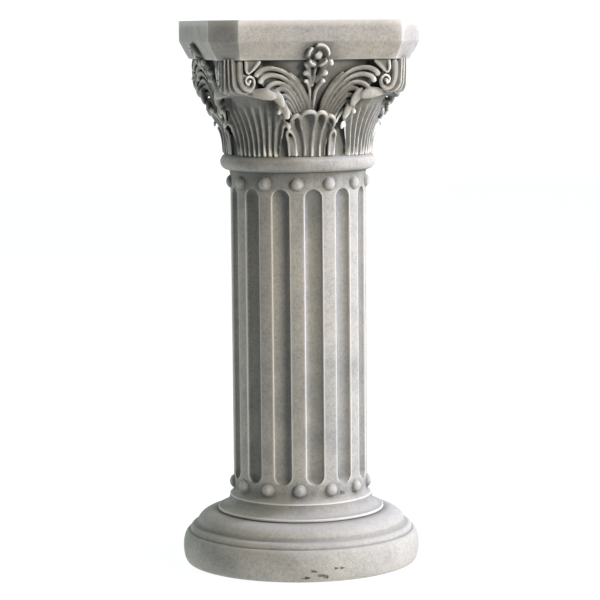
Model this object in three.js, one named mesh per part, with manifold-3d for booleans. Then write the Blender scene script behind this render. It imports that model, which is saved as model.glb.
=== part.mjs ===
// Corinthian column pedestal, one casting in stone. Millimetres, +Z up, the front faces -Y,
// and the origin is under the middle of the base.
import * as THREE from 'three';
import Module from 'manifold-3d';

const wasm = await Module();
wasm.setup();

// Heights, stacked from the floor up.
const BASE_HEIGHT = 98.8;
const SHAFT_LENGTH = 477;
const RING_TUBE = 11.8;
const BELL_HEIGHT = 135.6;
const BEVEL_HEIGHT = 25.6;
const BAND_HEIGHT = 30;

// Moulded base: radius of each member, and how high it starts.
const FOOT_RADIUS = 166.5;
const FOOT_ROUND = 3.5;
const TORUS_RADIUS = 173.8;
const TORUS_HEIGHT = 45.8;
const TORUS_CREASE = 164.4;
const BEAD_HEIGHT = 9.6;
const BEAD_RADIUS = 155;
const OVOLO_RADIUS = 152.5;
const OVOLO_HEIGHT = 20.6;
const FILLET_RADIUS = 121.7;
const FILLET_HEIGHT = 4.7;
const FILLET_STEP = 2.7;

// Shaft with its flutes and the round studs between their ends.
const SHAFT_RADIUS = 98.4;
const FOOT_FLARE = 5.6;
const NECK_FLARE = 2.1;
const FLARE_HEIGHT = 7;
const FLUTES = 13;
const FLUTE_WIDTH = 26.2;
const FLUTE_DEPTH = 7.5;
const FLUTE_FOOT_MARGIN = 26.8;
const FLUTE_NECK_MARGIN = 24.1;
const STUD_WIDTH = 20;
const STUD_RISE = 6.5;
const STUD_FOOT_MARGIN = 18.8;
const STUD_NECK_MARGIN = 16.8;

// Ring and bell under the carving.
const RING_RADIUS = 112.9;
const BELL_FOOT_RADIUS = 104;
const BELL_LIP_FLARE = 24;

// Square top slab with clipped corners and a bevel below its band.
const ABACUS_WIDTH = 305;
const CORNER_LEG = 35.7;
const BEVEL_INSET = 13.3;

// Carving of the capital, repeated on its four sides. Angles are in degrees round the axis.
const SIDES = 4;
const LEAF_HALF_ANGLE = 15.5;
const LEAF_HEIGHT = 66;
const LEAF_THICKNESS = 5.5;
const LEAF_CURL = 12;
const LEAF_HOLLOWS = 5;
const LEAF_HOLLOW_DEPTH = 3;
const LEAFLET_ANGLE = 18.4;
const LEAFLET_HALF_ANGLE = 3.2;
const LEAFLET_HEIGHT = 38;
const CORNER_LEAF_HALF_ANGLE = 24.5;
const CORNER_LEAF_HEIGHT = 93;
const CORNER_LEAF_THICKNESS = 5;
const CORNER_LEAF_CURL = 30;
const CORNER_LEAF_RIBS = 9;
const RIB_DEPTH = 3;
const FROND_RIDGES = 7;
const FROND_RIDGE_DEPTH = 3.2;
const FROND_ROOT = 24;
const EYE_SETBACK = 41.7;
const EYE_DROP = 29.4;
const VOLUTE_RADIUS = 15;
const VOLUTE_INNER = 8.5;
const VOLUTE_OUTER = 19;
const VOLUTE_LIMB = 11;
const VOLUTE_SETBACK = 8.2;
const VOLUTE_GROOVE = 2.2;
const CORE_SETBACK = 10;
const EYE_RISE = 5;
const FLOWER_RADIUS = 15.5;
const FLOWER_RISE = 7;
const FLOWER_PETALS = 5;
const FLOWER_REACH = 147;
const STEM_RADIUS = 3.6;
const STEM_LEAF_HEIGHT = 34;
const STEM_LEAF_WIDTH = 12;

const SHAFT_FOOT = BASE_HEIGHT;
const SHAFT_TOP = SHAFT_FOOT + SHAFT_LENGTH;
const RING_TOP = SHAFT_TOP + 2 * RING_TUBE;
const BELL_TOP = RING_TOP + BELL_HEIGHT;
const ABACUS_TOP = BELL_TOP + BEVEL_HEIGHT + BAND_HEIGHT;
const BEVEL_FOOT_HALF = ABACUS_WIDTH / 2 - BEVEL_INSET;
const VOLUTE_PLANE = BEVEL_FOOT_HALF - VOLUTE_SETBACK;
const EYE_X = BEVEL_FOOT_HALF - EYE_SETBACK;
const EYE_Z = BELL_TOP - EYE_DROP;
const FROND_REACH = EYE_X - VOLUTE_INNER;
const TURN = 2 * Math.PI;
const LATHE_SIDES = 28;
const BELL_SIDES = 20;
const WELD = 1e4;

const lerp = THREE.MathUtils.lerp;
const smooth = THREE.MathUtils.smoothstep;
const radians = THREE.MathUtils.degToRad;

function spread(count, from, to) {
  return Array.from({ length: count + 1 }, (_, i) => lerp(from, to, i / count));
}

// A point at an angle round the axis, 0 being the front.
function around(angle, radius, z) {
  return new THREE.Vector3(radius * Math.sin(angle), -radius * Math.cos(angle), z);
}

// Joins equal points, drops the triangles that this empties and turns the faces outwards.
function solid(points, faces) {
  const index = new Map();
  const unique = [];
  const renamed = points.map((p) => {
    const key = [p.x, p.y, p.z].map((value) => Math.round(value * WELD)).join(' ');
    if (!index.has(key)) {
      index.set(key, unique.length);
      unique.push(p);
    }
    return index.get(key);
  });
  const kept = faces
    .map((face) => face.map((corner) => renamed[corner]))
    .filter(([a, b, c]) => a !== b && b !== c && c !== a);
  const volume = kept.reduce((sum, [a, b, c]) => {
    const cross = unique[b].clone().cross(unique[c]);
    return sum + unique[a].dot(cross);
  }, 0);
  const outward = volume < 0 ? kept.map(([a, b, c]) => [a, c, b]) : kept;
  return new wasm.Manifold(new wasm.Mesh({
    numProp: 3,
    vertProperties: new Float32Array(unique.flatMap((p) => [p.x, p.y, p.z])),
    triVerts: new Uint32Array(outward.flat()),
  }));
}

// Triangles between the points of a grid, given as rows of equal length.
function gridFaces(tall, wide) {
  const faces = [];
  for (let row = 0; row < tall - 1; row += 1) {
    for (let column = 0; column < wide - 1; column += 1) {
      const a = row * wide + column;
      faces.push([a, a + 1, a + wide + 1], [a, a + wide + 1, a + wide]);
    }
  }
  return faces;
}

// A carved patch: its grid of surface points, closed by a fan to a point inside the bell.
function patch(rows, heart) {
  const tall = rows.length;
  const wide = rows[0].length;
  const faces = gridFaces(tall, wide);
  const rim = [];
  for (let column = 0; column < wide; column += 1) rim.push(column);
  for (let row = 1; row < tall; row += 1) rim.push(row * wide + wide - 1);
  for (let column = wide - 2; column >= 0; column -= 1) rim.push((tall - 1) * wide + column);
  for (let row = tall - 2; row > 0; row -= 1) rim.push(row * wide);
  rim.forEach((corner, i) => {
    faces.push([rim[(i + 1) % rim.length], corner, tall * wide]);
  });
  return solid([...rows.flat(), heart], faces);
}

// Closed rings of equal length joined end to end, with flat triangulated ends.
function loft(rings) {
  const wide = rings[0].length;
  const closed = rings.map((ring) => [...ring, ring[0]]);
  const faces = gridFaces(rings.length, wide + 1);
  const flat = rings[0].map((p) => new THREE.Vector2(p.x - p.y, p.z));
  const cap = THREE.ShapeUtils.triangulateShape(flat, []);
  const last = (rings.length - 1) * (wide + 1);
  cap.forEach(([a, b, c]) => {
    const forward = THREE.ShapeUtils.isClockWise(flat) ? [a, b, c] : [a, c, b];
    faces.push(forward, [forward[0] + last, forward[2] + last, forward[1] + last]);
  });
  return solid(closed.flat(), faces);
}

// Level rings of equal length joined one above the other, with ends fanned from their middles.
function prism(rings) {
  const middle = (ring) => ring.reduce((sum, p) => sum.clone().add(p))
    .divideScalar(ring.length);
  const rows = [
    rings[0].map(() => middle(rings[0])),
    ...rings,
    rings[0].map(() => middle(rings[rings.length - 1])),
  ].map((ring) => [...ring, ring[0]]);
  return solid(rows.flat(), gridFaces(rows.length, rows[0].length));
}

// A tapering tube along points, pointed at both ends.
function tube(path, radii, sides) {
  const rings = path.map((p, i) => {
    const before = path[Math.max(i - 1, 0)];
    const after = path[Math.min(i + 1, path.length - 1)];
    const along = after.clone().sub(before).normalize();
    const across = new THREE.Vector3(0, 1, 0).cross(along).normalize();
    const other = along.clone().cross(across);
    return spread(sides, 0, TURN).map((turn) => p.clone()
      .addScaledVector(across, radii[i] * Math.cos(turn))
      .addScaledVector(other, radii[i] * Math.sin(turn)));
  });
  rings.forEach((ring) => ring[sides].copy(ring[0]));
  const start = rings[0].map(() => path[0].clone());
  const end = rings[0].map(() => path[path.length - 1].clone());
  const rows = [start, ...rings, end];
  return solid(rows.flat(), gridFaces(rows.length, sides + 1));
}

function lathe(outline, segments) {
  const profile = outline.map(([radius, z]) => [radius, z]);
  const rows = spread(segments, 0, TURN).map((turn, i) => profile.map(([radius, z]) => (
    around(i === segments ? 0 : turn, radius, z)
  )));
  return solid(rows.flat(), gridFaces(rows.length, profile.length));
}

// Quarter of an ellipse between two points, leaving the first one straight up.
function quarter(from, to, steps) {
  return spread(steps, 0, Math.PI / 2).map((turn) => [
    to[0] + (from[0] - to[0]) * Math.cos(turn),
    from[1] + (to[1] - from[1]) * Math.sin(turn),
  ]);
}

function base() {
  const ovoloFoot = TORUS_HEIGHT + BEAD_HEIGHT;
  const filletFoot = ovoloFoot + OVOLO_HEIGHT;
  const torusMiddle = TORUS_HEIGHT / 2;
  const torus = spread(5, FOOT_ROUND, TORUS_HEIGHT).map((z) => {
    const share = (z - torusMiddle) / torusMiddle;
    const edge = share < 0 ? FOOT_RADIUS : TORUS_CREASE;
    return [edge + (TORUS_RADIUS - edge) * Math.sqrt(1 - share * share), z];
  });
  const scotiaTop = [SHAFT_RADIUS + FOOT_FLARE, SHAFT_FOOT];
  const scotiaFoot = [FILLET_RADIUS, filletFoot + FILLET_HEIGHT];
  const scotia = spread(2, 0, Math.PI / 2).map((turn) => [
    scotiaFoot[0] + (scotiaTop[0] - scotiaFoot[0]) * Math.sin(turn),
    scotiaTop[1] + (scotiaFoot[1] - scotiaTop[1]) * Math.cos(turn),
  ]);
  return lathe([
    [0, 0],
    [FOOT_RADIUS - FOOT_ROUND, 0],
    ...torus,
    ...quarter([TORUS_CREASE - 1, TORUS_HEIGHT], [BEAD_RADIUS, ovoloFoot - 1], 2),
    ...quarter([OVOLO_RADIUS, ovoloFoot], [FILLET_RADIUS - FILLET_STEP, filletFoot], 3),
    [FILLET_RADIUS, filletFoot],
    ...scotia,
    [0, SHAFT_FOOT],
  ], LATHE_SIDES);
}

// One row of the shaft: the flute narrows to nothing at its round ends.
function shaftRow(z, radius, halfWidth, depth) {
  const fluteSteps = 4;
  const landSteps = 2;
  const pitch = TURN / FLUTES;
  const halfAngle = Math.asin(halfWidth / radius);
  const row = [];
  for (let flute = 0; flute < FLUTES; flute += 1) {
    spread(fluteSteps, -1, 1).forEach((u) => {
      const sunk = depth * Math.sqrt(Math.max(0, 1 - u * u));
      row.push(around(flute * pitch + u * halfAngle, radius - sunk, z));
    });
    spread(landSteps, halfAngle, pitch - halfAngle).slice(1, -1).forEach((turn) => {
      row.push(around(flute * pitch + turn, radius, z));
    });
  }
  return [...row, row[0]];
}

function shaft() {
  const foot = SHAFT_FOOT + FLUTE_FOOT_MARGIN;
  const neck = SHAFT_TOP - FLUTE_NECK_MARGIN;
  const round = FLUTE_WIDTH / 2;
  const turns = spread(3, 0, Math.PI / 2);
  const plain = (z, radius) => shaftRow(z, radius, 0, 0);
  const fluted = (z, turn) => {
    const sink = Math.sin(turn);
    return shaftRow(z, SHAFT_RADIUS, round * sink, FLUTE_DEPTH * sink);
  };
  const footFlare = SHAFT_RADIUS + FOOT_FLARE;
  const buried = RING_TUBE;
  const axis = (z) => shaftRow(z, SHAFT_RADIUS, 0, 0).map(() => new THREE.Vector3(0, 0, z));
  const rows = [
    axis(SHAFT_FOOT - buried),
    plain(SHAFT_FOOT - buried, SHAFT_RADIUS),
    plain(SHAFT_FOOT - 2, SHAFT_RADIUS),
    plain(SHAFT_FOOT, footFlare),
    plain(SHAFT_FOOT + FLARE_HEIGHT * 0.35, lerp(footFlare, SHAFT_RADIUS, 0.7)),
    plain(SHAFT_FOOT + FLARE_HEIGHT, SHAFT_RADIUS),
    ...turns.map((turn) => fluted(foot + round * (1 - Math.cos(turn)), turn)),
    ...turns.map((turn) => fluted(neck - round * (1 - Math.cos(turn)), turn)).reverse(),
    plain(SHAFT_TOP - FLARE_HEIGHT, SHAFT_RADIUS),
    plain(SHAFT_TOP, SHAFT_RADIUS + NECK_FLARE),
    plain(SHAFT_TOP + buried, SHAFT_RADIUS + NECK_FLARE),
    axis(SHAFT_TOP + buried),
  ];
  return solid(rows.flat(), gridFaces(rows.length, rows[0].length));
}

// A low dome on the shaft, its back buried in the stone.
function stud(angle, z) {
  const ball = ((STUD_WIDTH / 2) ** 2 + STUD_RISE ** 2) / (2 * STUD_RISE);
  const centre = SHAFT_RADIUS + STUD_RISE - ball;
  const sides = 6;
  const rows = [0, 0.45, 1].map((share) => {
    const tilt = share * Math.PI * 0.62;
    return spread(sides, 0, TURN).map((turn, i) => {
      const spin = i === sides ? 0 : turn;
      const side = ball * Math.sin(tilt) * Math.cos(spin);
      const up = ball * Math.sin(tilt) * Math.sin(spin);
      const out = centre + ball * Math.cos(tilt);
      return around(angle + Math.atan2(side, out), Math.hypot(side, out), z + up);
    });
  });
  const back = around(angle, centre - ball * 0.6, z);
  const points = [...rows.flat(), ...rows[0].map(() => back)];
  return solid(points, gridFaces(rows.length + 1, sides + 1));
}

function studs() {
  const places = [];
  for (let flute = 0; flute < FLUTES; flute += 1) {
    const angle = (flute + 0.5) * TURN / FLUTES;
    places.push(stud(angle, SHAFT_FOOT + STUD_FOOT_MARGIN));
    places.push(stud(angle, SHAFT_TOP - STUD_NECK_MARGIN));
  }
  return places;
}

// Radius of the plain bell at a height.
function bellRadius(z) {
  const share = THREE.MathUtils.clamp((z - RING_TOP) / BELL_HEIGHT, 0, 1);
  return BELL_FOOT_RADIUS + BELL_LIP_FLARE * share ** 2.2;
}

function ring() {
  const centre = RING_RADIUS - RING_TUBE;
  const middle = SHAFT_TOP + RING_TUBE;
  const tube = spread(5, -Math.PI / 2, Math.PI / 2).map((turn) => [
    centre + RING_TUBE * Math.cos(turn),
    middle + RING_TUBE * Math.sin(turn),
  ]);
  return lathe([[0, SHAFT_TOP], ...tube, [0, RING_TOP]], LATHE_SIDES);
}

function bell() {
  const sunk = RING_TUBE;
  const wall = spread(2, RING_TOP, BELL_TOP).map((z) => [bellRadius(z), z]);
  return lathe([
    [0, RING_TOP - sunk],
    [BELL_FOOT_RADIUS - sunk, RING_TOP - sunk],
    ...wall,
    [0, BELL_TOP + 1],
  ], BELL_SIDES);
}

// The slab's clipped square at a height, all its sides set in by the same amount.
function abacusRing(z, inset) {
  const half = ABACUS_WIDTH / 2 - inset;
  const leg = CORNER_LEG - inset * (2 - Math.SQRT2);
  const corner = [[half - leg, -half], [half, leg - half]];
  return spread(SIDES, 0, TURN).slice(0, SIDES).flatMap((turn) => corner.map(([x, y]) => (
    new THREE.Vector3(x, y, z).applyAxisAngle(new THREE.Vector3(0, 0, 1), turn)
  )));
}

function abacus() {
  const rings = [
    abacusRing(BELL_TOP, BEVEL_INSET),
    abacusRing(BELL_TOP + BEVEL_HEIGHT, 0),
    abacusRing(ABACUS_TOP, 0),
  ];
  return prism(rings);
}

// Broad leaf in the middle of a side: hollows between raised rims, and a lip curling out.
function middleLeaf() {
  const rows = [0, 0.45, 0.85, 1].map((v) => spread(2 * LEAF_HOLLOWS, -1, 1).map((u, i) => {
    const waist = 1 - 0.17 * Math.sin(Math.PI * Math.min(v / 0.8, 1));
    const top = LEAF_HEIGHT * (1 - 0.24 * u ** 4) - (i % 2 ? 0 : 1.5);
    const z = RING_TOP - 1 + v * top;
    const curl = LEAF_CURL * v ** 4;
    const hollow = LEAF_HOLLOW_DEPTH * (i % 2) * smooth(v, 0, 0.4);
    const edge = Math.abs(u) === 1 ? LEAF_THICKNESS * 0.6 : LEAF_THICKNESS;
    const radius = bellRadius(z) + edge + curl - hollow;
    return around(radians(u * LEAF_HALF_ANGLE * waist), radius, z);
  }));
  return patch(rows, around(0, BELL_FOOT_RADIUS * 0.8, RING_TOP + LEAF_HEIGHT * 0.5));
}

// Narrow leaflet at each edge of the middle leaf.
function sideLeaflet(side) {
  const rows = spread(2, 0, 1).map((v) => spread(2, -1, 1).map((u) => {
    const z = RING_TOP - 1 + LEAFLET_HEIGHT * v * (1 - 0.2 * u * u);
    const radius = bellRadius(z) + 6 * Math.sqrt(1 - 0.9 * u * u) * (0.6 + 0.5 * v);
    return around(radians(side * LEAFLET_ANGLE + u * LEAFLET_HALF_ANGLE), radius, z);
  }));
  const heart = around(radians(side * LEAFLET_ANGLE), BELL_FOOT_RADIUS * 0.9, RING_TOP + 12);
  return patch(rows, heart);
}

// Great ribbed leaf under a corner: it leans out and its lip rolls over below the volutes.
function cornerLeaf() {
  const steps = 2 * CORNER_LEAF_RIBS;
  const rows = [0, 0.4, 0.8, 1].map((v) => spread(steps, -1, 1).map((u, i) => {
    const lobe = u ** 6;
    const top = CORNER_LEAF_HEIGHT * (1 - 0.45 * lobe);
    const z = RING_TOP - 1 + v * top;
    const lean = CORNER_LEAF_CURL * v ** 2.6 * (1 - 0.55 * Math.abs(u) ** 1.5);
    const groove = RIB_DEPTH * ((i + 1) % 2) * smooth(v, 0, 0.1);
    const radius = bellRadius(z) + CORNER_LEAF_THICKNESS + lean - groove;
    const widen = lerp(0.88, 1, smooth(v, 0.1, 0.9));
    return around(Math.PI / 4 + radians(u * CORNER_LEAF_HALF_ANGLE * widen), radius, z);
  }));
  const heart = around(Math.PI / 4, BELL_FOOT_RADIUS * 0.75, RING_TOP + CORNER_LEAF_HEIGHT / 2);
  return patch(rows, heart);
}

// Feathery frond between the stem and a volute. Its ridges spring from the stem side, arch
// over and end in tips that turn down.
function frond(side) {
  const share = (value) => RING_TOP + BELL_HEIGHT * value;
  const rows = spread(2 * FROND_RIDGES, 0, 1).map((t, i) => {
    const start = [lerp(FROND_ROOT, FROND_ROOT * 1.6, t ** 3), share(0.62 - 0.24 * t ** 1.3)];
    const bend = [lerp(FROND_REACH * 0.53, FROND_REACH * 0.43, t), share(1.11 - 0.51 * t)];
    const end = [lerp(FROND_REACH, FROND_REACH * 0.6, t ** 0.6), share(0.84 - 0.3 * t)];
    return spread(3, 0, 1).map((s) => {
      const mix = (axis) => (1 - s) ** 2 * start[axis] + 2 * s * (1 - s) * bend[axis]
        + s * s * end[axis];
      const x = mix(0);
      const z = mix(1);
      const ridge = FROND_RIDGE_DEPTH * (i % 2) * Math.sin(Math.PI * (0.1 + 0.8 * s));
      const plain = lerp(bellRadius(z) + 5, VOLUTE_PLANE - 3, smooth(x, FROND_ROOT, EYE_X));
      return new THREE.Vector3(side * x, -plain - ridge, z);
    });
  });
  return patch(rows, new THREE.Vector3(side * FROND_REACH / 2, -BELL_FOOT_RADIUS * 0.6, share(0.7)));
}

// Solid stone between the bell and the volutes of a corner, narrowing downwards.
function cornerCore() {
  const levels = [[BELL_TOP + 1, 0], [EYE_Z, 2], [RING_TOP + CORNER_LEAF_HEIGHT * 0.66, 24]];
  const rings = levels.map(([z, inset]) => {
    const face = VOLUTE_PLANE - CORE_SETBACK - inset;
    const reach = EYE_X - inset;
    const flank = EYE_X * 0.6;
    const back = EYE_X * 0.5;
    return [[flank, -face], [reach, -face], [face, -reach], [face, -flank], [back, -back]]
      .map(([x, y]) => new THREE.Vector3(x, y, z));
  });
  return prism(rings);
}

// A point of a volute's outline, at a turn below the eye and a share of the full size.
function onSpiral(turn, share) {
  const reach = Math.cos(turn) < 0 ? VOLUTE_INNER : VOLUTE_OUTER;
  return [
    EYE_X + reach * share * Math.cos(turn),
    EYE_Z - VOLUTE_RADIUS * share * Math.sin(turn),
  ];
}

// The two volutes of a corner share one grooved rim, lofted from one face to the next.
function volute() {
  const limb = EYE_X + VOLUTE_OUTER;
  const arc = spread(5, 0, Math.PI).map((turn) => onSpiral(turn, 1));
  const outline = [
    [limb + 2, BELL_TOP + 2],
    ...arc,
    [EYE_X - VOLUTE_INNER * 0.6, EYE_Z + VOLUTE_RADIUS * 0.5],
    [EYE_X, EYE_Z + VOLUTE_RADIUS * 0.6],
    [limb - VOLUTE_LIMB, EYE_Z + VOLUTE_RADIUS * 0.6],
    [limb - VOLUTE_LIMB, BELL_TOP + 2],
  ];
  const bands = [0, 0.34, 0.5, 0.66, 1];
  const rings = bands.map((band) => {
    const sunk = band === 0.34 || band === 0.66 ? VOLUTE_GROOVE : 0;
    const bulge = 5 * Math.sin(Math.PI * band) - sunk;
    return outline.map(([x, z]) => {
      const from = new THREE.Vector3(x, -VOLUTE_PLANE, z);
      const to = new THREE.Vector3(VOLUTE_PLANE, -x, z);
      const away = x > EYE_X ? 1 : 0.3;
      return from.lerp(to, band).add(new THREE.Vector3(0.7, -0.7, 0).multiplyScalar(bulge * away));
    });
  });
  return loft(rings);
}

// Raised coil on a volute's face, rising to its eye.
function coil(mirrored) {
  const path = spread(6, 0, 1).map((share) => {
    const [x, z] = onSpiral(lerp(0.1, 1.1, share) * TURN, lerp(0.85, 0.12, share));
    const out = VOLUTE_PLANE + EYE_RISE * share ** 2;
    return mirrored ? new THREE.Vector3(out, -x, z) : new THREE.Vector3(x, -out, z);
  });
  const radii = path.map((_, i) => lerp(2.6, 3, i / path.length));
  return tube(path, radii, 3);
}

// Pointed bract that fills the notch above a volute's eye.
function bract(mirrored) {
  const top = BELL_TOP + 1;
  const low = EYE_Z + VOLUTE_RADIUS * 0.55;
  const rows = spread(1, 0, 1).map((v) => spread(2, -1, 1).map((u) => {
    const x = EYE_X - 3 + u * 8 * v;
    const out = VOLUTE_PLANE + (1 - Math.abs(u)) * 4 - 3;
    const z = lerp(low, top, v);
    return mirrored ? new THREE.Vector3(out, -x, z) : new THREE.Vector3(x, -out, z);
  }));
  const back = VOLUTE_PLANE - 22;
  const heart = new THREE.Vector3(EYE_X - 3, -back, lerp(low, top, 0.7));
  if (mirrored) heart.set(back, 3 - EYE_X, heart.z);
  return patch(rows, heart);
}

// Round flower on the middle of the slab's bevel, with slits between its petals.
function flower() {
  const columns = 3 * FLOWER_PETALS;
  const middle = BELL_TOP + FLOWER_RISE;
  const profile = [[0, 0], [0.26, 1], [0.38, 4], [0.95, 0]];
  const rows = profile.map(([share, back]) => spread(columns, 0, TURN).map((turn, i) => {
    const spin = i === columns ? 0 : turn;
    const slit = share > 0.5 && i % 3 === 0;
    const radius = FLOWER_RADIUS * share * (slit ? 0.82 : 1);
    const out = FLOWER_REACH - back - (slit ? 2.5 : 0);
    return new THREE.Vector3(radius * Math.sin(spin), -out, middle + radius * Math.cos(spin));
  }));
  const back = rows[0].map(() => new THREE.Vector3(0, -BELL_FOOT_RADIUS, middle));
  return solid([...rows, back].flat(), gridFaces(rows.length + 1, columns + 1));
}

// Stem that climbs the bell from the middle leaf to the flower.
function stem() {
  const path = spread(1, RING_TOP + LEAF_HEIGHT * 0.87, BELL_TOP - 2).map((z) => (
    around(0, bellRadius(z) + 2.5, z)
  ));
  return tube(path, path.map(() => STEM_RADIUS), 4);
}

// Curled leaf beside the stem, just under the flower.
function stemLeaf(side) {
  const foot = BELL_TOP - STEM_LEAF_HEIGHT;
  const rows = spread(1, 0, 1).map((v) => spread(2, -1, 1).map((u) => {
    const x = side * (STEM_RADIUS + STEM_LEAF_WIDTH * (0.2 + 0.6 * v + u * 0.4 * v));
    const z = foot + v * STEM_LEAF_HEIGHT * 0.9;
    const out = bellRadius(z) + 2 + (1 - Math.abs(u)) * 3 + 4 * v;
    return new THREE.Vector3(x, -out, z);
  }));
  return patch(rows, new THREE.Vector3(side * STEM_LEAF_WIDTH, -bellRadius(foot) * 0.9, foot + 8));
}

// Everything carved on one side and on the corner to its right.
function carvedSide() {
  return [
    middleLeaf(),
    sideLeaflet(-1),
    sideLeaflet(1),
    cornerLeaf(),
    frond(-1),
    frond(1),
    cornerCore(),
    volute(),
    coil(false),
    coil(true),
    bract(false),
    bract(true),
    flower(),
    stem(),
    stemLeaf(-1),
    stemLeaf(1),
  ];
}

function join(solids) {
  return solids.reduce((whole, piece) => whole.add(piece));
}

function casting() {
  const side = join(carvedSide());
  const sides = spread(SIDES, 0, 360).slice(0, SIDES).map((turn) => side.rotate([0, 0, turn]));
  return join([base(), shaft(), ...studs(), ring(), bell(), abacus(), ...sides]);
}

function toGeometry(manifold) {
  const mesh = manifold.getMesh();
  const geometry = new THREE.BufferGeometry();
  geometry.setAttribute('position', new THREE.BufferAttribute(mesh.vertProperties, 3));
  geometry.setIndex(new THREE.BufferAttribute(mesh.triVerts, 1));
  return geometry;
}

const castStone = new THREE.MeshStandardMaterial({ color: 0xb9b4a9, roughness: 0.9, metalness: 0 });
const pedestal = new THREE.Mesh(toGeometry(casting()), castStone);
pedestal.name = 'pedestal';
const model = new THREE.Group();
model.add(pedestal);

export default model;
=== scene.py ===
# %% [markdown]
# # A cast stone column pedestal
# The real object is one casting: a moulded round base, a fluted shaft with a row of studs at each
# end, a ring, a capital carved with leaves and volutes, and a square top with clipped corners.
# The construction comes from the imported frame. This script makes the surface that the eye sees:
# softened edges, rolled leaf lips, coils, air holes and the sandy skin of cast stone.

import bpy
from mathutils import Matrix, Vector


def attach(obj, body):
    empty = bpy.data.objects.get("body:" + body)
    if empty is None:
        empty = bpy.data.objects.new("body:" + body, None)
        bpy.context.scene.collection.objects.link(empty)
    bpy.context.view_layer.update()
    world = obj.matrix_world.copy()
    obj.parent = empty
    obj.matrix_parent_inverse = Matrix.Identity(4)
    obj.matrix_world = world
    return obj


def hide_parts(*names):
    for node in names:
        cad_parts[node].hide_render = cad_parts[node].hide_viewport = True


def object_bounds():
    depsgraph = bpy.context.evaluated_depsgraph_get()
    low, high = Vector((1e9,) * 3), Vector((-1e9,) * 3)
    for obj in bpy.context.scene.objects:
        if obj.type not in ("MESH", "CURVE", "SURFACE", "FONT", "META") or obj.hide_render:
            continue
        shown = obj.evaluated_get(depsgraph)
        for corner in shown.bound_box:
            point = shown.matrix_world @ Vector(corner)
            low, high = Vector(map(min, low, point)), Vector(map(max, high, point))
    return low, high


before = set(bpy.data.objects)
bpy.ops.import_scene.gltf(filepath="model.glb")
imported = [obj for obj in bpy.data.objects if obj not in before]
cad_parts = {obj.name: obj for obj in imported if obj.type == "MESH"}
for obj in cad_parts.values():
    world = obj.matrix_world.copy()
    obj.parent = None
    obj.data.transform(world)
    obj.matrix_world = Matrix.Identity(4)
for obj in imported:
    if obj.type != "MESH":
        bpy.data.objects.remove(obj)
cad_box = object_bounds()
print("frame", [round(value, 4) for corner in cad_box for value in corner])

# %% [markdown]
# The stone is worked out in millimetres, as a carver would measure it, and turned into metres
# when a mesh is made. The base stands on the floor and the other members hang from the top, each
# from the foot of the one above it, so the shaft fills the height that is left.

# %% Sizes
import math

import bmesh
import bpy
import numpy as np
from mathutils import Matrix, Vector
from mathutils.bvhtree import BVHTree

MM = 0.001
TURN = 2 * math.pi

BASE_HEIGHT = 98.8
RING_TUBE = 11.8
BELL_HEIGHT = 135.6
BEVEL_HEIGHT = 25.6
BAND_HEIGHT = 30.0
ABACUS_TOP = cad_box[1].z / MM
BELL_TOP = ABACUS_TOP - BAND_HEIGHT - BEVEL_HEIGHT
RING_TOP = BELL_TOP - BELL_HEIGHT
SHAFT_TOP = RING_TOP - 2 * RING_TUBE

TORUS_RADIUS = cad_box[1].x / MM
SHAFT_RADIUS = 98.4
RING_RADIUS = 112.9
BELL_FOOT_RADIUS = 104.0
BELL_LIP_FLARE = 24.0
ABACUS_HALF = 152.5
CORNER_LEG = 35.7
BEVEL_INSET = 13.3
VOLUTE_SETBACK = 8.2
EYE_SETBACK = 41.7
EYE_DROP = 29.4
BEVEL_FOOT_HALF = ABACUS_HALF - BEVEL_INSET
VOLUTE_PLANE = BEVEL_FOOT_HALF - VOLUTE_SETBACK
EYE_X = BEVEL_FOOT_HALF - EYE_SETBACK
EYE_Z = BELL_TOP - EYE_DROP
print("shaft", BASE_HEIGHT, "to", round(SHAFT_TOP, 1))
print("bell", round(RING_TOP, 1), "to", round(BELL_TOP, 1))

# %% [markdown]
# A carved thing is mostly two kinds of surface: a sheet with rows of points, such as a leaf or a
# turned moulding, and a rod that follows a path, such as a rib or a coil. Both are made here as
# closed bodies, because only closed bodies can be fused later. Rows of points are numpy arrays,
# so a whole leaf is one expression.

# %% Sheets and rods
def solid(points, faces):
    """One closed body: its points and its triangles or quads."""
    return np.asarray(points, float).reshape(-1, 3), faces


def grid_faces(tall, wide):
    """Quads between neighbouring rows of points."""
    corners = (0, 1, wide + 1, wide)
    return [
        tuple(r * wide + c + corner for corner in corners)
        for r in range(tall - 1)
        for c in range(wide - 1)
    ]


def sheet(rows, heart):
    """A carved sheet, closed by a fan to a point inside the stone."""
    tall, wide = rows.shape[:2]
    rim = list(range(wide))
    rim += [r * wide + wide - 1 for r in range(1, tall)]
    rim += [(tall - 1) * wide + c for c in range(wide - 2, -1, -1)]
    rim += [r * wide for r in range(tall - 2, 0, -1)]
    faces = grid_faces(tall, wide)
    faces += [(rim[(i + 1) % len(rim)], corner, tall * wide) for i, corner in enumerate(rim)]
    return solid(np.vstack([rows.reshape(-1, 3), [heart]]), faces)


def turned(rings):
    """Closed rings of points joined one above the other, with a flat fan at each end."""
    tall, wide = rings.shape[:2]
    points = np.vstack([rings.reshape(-1, 3), [rings[0].mean(axis=0)], [rings[-1].mean(axis=0)]])
    faces = []
    for r in range(tall - 1):
        for c in range(wide):
            d = (c + 1) % wide
            faces.append((r * wide + c, r * wide + d, (r + 1) * wide + d, (r + 1) * wide + c))
    last = (tall - 1) * wide
    for c in range(wide):
        d = (c + 1) % wide
        faces.append((d, c, tall * wide))
        faces.append((last + c, last + d, tall * wide + 1))
    return solid(points, faces)


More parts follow.
